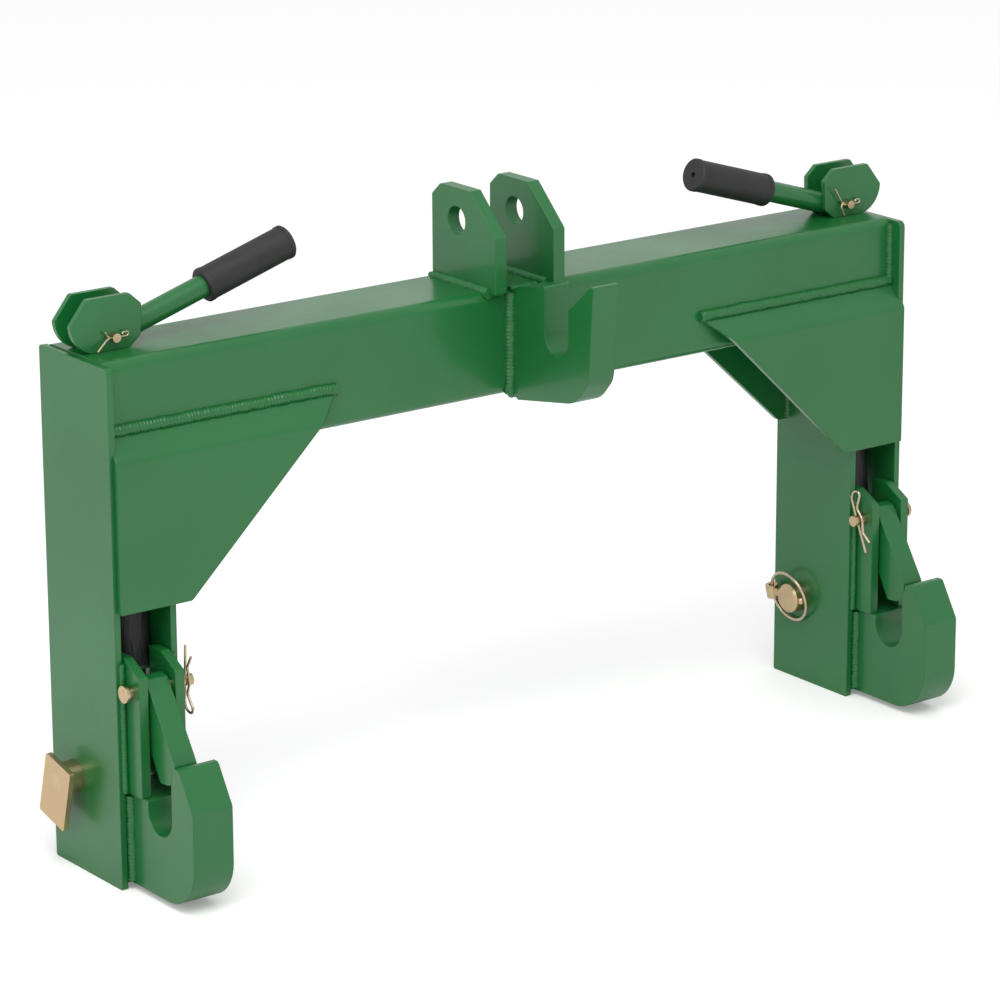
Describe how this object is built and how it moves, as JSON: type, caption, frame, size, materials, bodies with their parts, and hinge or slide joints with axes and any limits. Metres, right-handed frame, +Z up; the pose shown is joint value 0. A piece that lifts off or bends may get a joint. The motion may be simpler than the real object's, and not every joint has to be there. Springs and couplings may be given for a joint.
{
  "type": "three point quick hitch",
  "caption": "Category 2 tractor quick hitch: welded arch with latched lower hooks, a top hook, cam handles, link pins and top link ears.",
  "frame": {"origin": "on the ground, midway between the two legs and midway between the hooks' front and the legs' back", "axes": "+X along the tube towards the right leg as seen from the implement, -Y the way the hooks face, +Z up"},
  "size_m": [0.925, 0.2134, 0.551],
  "materials": {
    "green_paint": "semi-gloss green enamel over cut and welded steel plate",
    "yellow_zinc": "yellow zinc plate, turned or sheared steel",
    "zinc_wire": "zinc plated spring wire",
    "bright_zinc": "bright zinc plate",
    "spring_steel": "dark spring steel",
    "grip_rubber": "matt black ribbed rubber",
    "sleeve_rubber": "matt black rubber"
  },
  "bodies": {
    "frame": {"left_front_gusset": "green_paint", "left_inner_cheek": "green_paint", "left_inner_leg_plate": "green_paint", "left_latch_pin_clip": "zinc_wire", "left_latch_pivot_pin": "yellow_zinc", "left_leg_back_plate": "green_paint", "left_lower_hook": "green_paint", "left_outer_cheek": "green_paint", "left_outer_leg_plate": "green_paint", "left_rear_gusset": "green_paint", "left_return_spring": "spring_steel", "left_rod_guide": "green_paint", "left_top_ear": "green_paint", "right_front_gusset": "green_paint", "right_inner_cheek": "green_paint", "right_inner_leg_plate": "green_paint", "right_latch_pin_clip": "zinc_wire", "right_latch_pivot_pin": "yellow_zinc", "right_leg_back_plate": "green_paint", "right_lower_hook": "green_paint", "right_outer_cheek": "green_paint", "right_outer_leg_plate": "green_paint", "right_rear_gusset": "green_paint", "right_return_spring": "spring_steel", "right_rod_guide": "green_paint", "right_top_ear": "green_paint", "top_beam": "green_paint", "top_hook": "green_paint"},
    "left_hook_latch": {"left_latch": "green_paint"},
    "left_rod": {"left_cam_pin": "yellow_zinc", "left_cam_pin_cotter": "zinc_wire", "left_fork_pin": "yellow_zinc", "left_lift_rod": "green_paint", "left_rod_washer": "bright_zinc", "left_spring_sleeve": "sleeve_rubber"},
    "left_handle": {"left_front_cam_plate": "green_paint", "left_handle_grip": "grip_rubber", "left_handle_tube": "green_paint", "left_rear_cam_plate": "green_paint"},
    "left_link_pin": {"left_linch_pin": "yellow_zinc", "left_lower_link_pin": "yellow_zinc", "left_lower_link_pin_tab": "yellow_zinc"},
    "left_ring": {"left_linch_ring": "zinc_wire"},
    "right_hook_latch": {"right_latch": "green_paint"},
    "right_rod": {"right_cam_pin": "yellow_zinc", "right_cam_pin_cotter": "zinc_wire", "right_fork_pin": "yellow_zinc", "right_lift_rod": "green_paint", "right_rod_washer": "bright_zinc", "right_spring_sleeve": "sleeve_rubber"},
    "right_handle": {"right_front_cam_plate": "green_paint", "right_handle_grip": "grip_rubber", "right_handle_tube": "green_paint", "right_rear_cam_plate": "green_paint"},
    "right_link_pin": {"right_linch_pin": "yellow_zinc", "right_lower_link_pin": "yellow_zinc", "right_lower_link_pin_tab": "yellow_zinc"},
    "right_ring": {"right_linch_ring": "zinc_wire"}
  },
  "joints": [
    {"name": "left_handle_turn", "type": "hinge", "parent": "left_rod", "child": "left_handle", "pos_m": [-0.4065, 0.063, 0.4758], "axis": [0, -1, 0], "range_deg": [0, 90]},
    {"name": "left_rod_lift", "type": "slide", "parent": "frame", "child": "left_rod", "axis": [0, 0.0926, 0.9957], "range_m": [0, 0.032], "stiffness_N_per_m": 2000, "springref_m": -0.03, "deforming": ["left_return_spring"]},
    {"name": "left_latch_turn", "type": "hinge", "parent": "frame", "child": "left_hook_latch", "pos_m": [-0.4125, -0.011, 0.1815], "axis": [1, 0, 0], "range_deg": [0, 38]},
    {"name": "left_link_pin_turn", "type": "hinge", "parent": "frame", "child": "left_link_pin", "pos_m": [-0.4125, 0.0728, 0.0843], "axis": [1, 0, 0], "continuous": true},
    {"name": "left_ring_flip", "type": "hinge", "parent": "left_link_pin", "child": "left_ring", "pos_m": [-0.373, 0.1016, 0.0843], "axis": [0.225, 0, 0.9744], "range_deg": [0, 170]},
    {"name": "right_handle_turn", "type": "hinge", "parent": "right_rod", "child": "right_handle", "pos_m": [0.4125, 0.063, 0.4758], "axis": [0, 1, 0], "range_deg": [0, 90]},
    {"name": "right_rod_lift", "type": "slide", "parent": "frame", "child": "right_rod", "axis": [0, 0.0926, 0.9957], "range_m": [0, 0.032], "stiffness_N_per_m": 2000, "springref_m": -0.03, "deforming": ["right_return_spring"]},
    {"name": "right_latch_turn", "type": "hinge", "parent": "frame", "child": "right_hook_latch", "pos_m": [0.4125, -0.011, 0.1815], "axis": [1, 0, 0], "range_deg": [0, 38]},
    {"name": "right_link_pin_turn", "type": "hinge", "parent": "frame", "child": "right_link_pin", "pos_m": [0.4125, 0.0728, 0.0843], "axis": [1, 0, 0], "continuous": true},
    {"name": "right_ring_flip", "type": "hinge", "parent": "right_link_pin", "child": "right_ring", "pos_m": [0.373, 0.1016, 0.0843], "axis": [0.225, 0, -0.9744], "range_deg": [0, 170]}
  ],
  "couplings": [
    {"joint": "left_rod_lift", "follows": "left_handle_turn", "m_per_rad": 0.02037},
    {"joint": "left_latch_turn", "follows": "left_handle_turn", "ratio": 0.4222},
    {"joint": "right_rod_lift", "follows": "right_handle_turn", "m_per_rad": 0.02037},
    {"joint": "right_latch_turn", "follows": "right_handle_turn", "ratio": 0.4222}
  ]
}
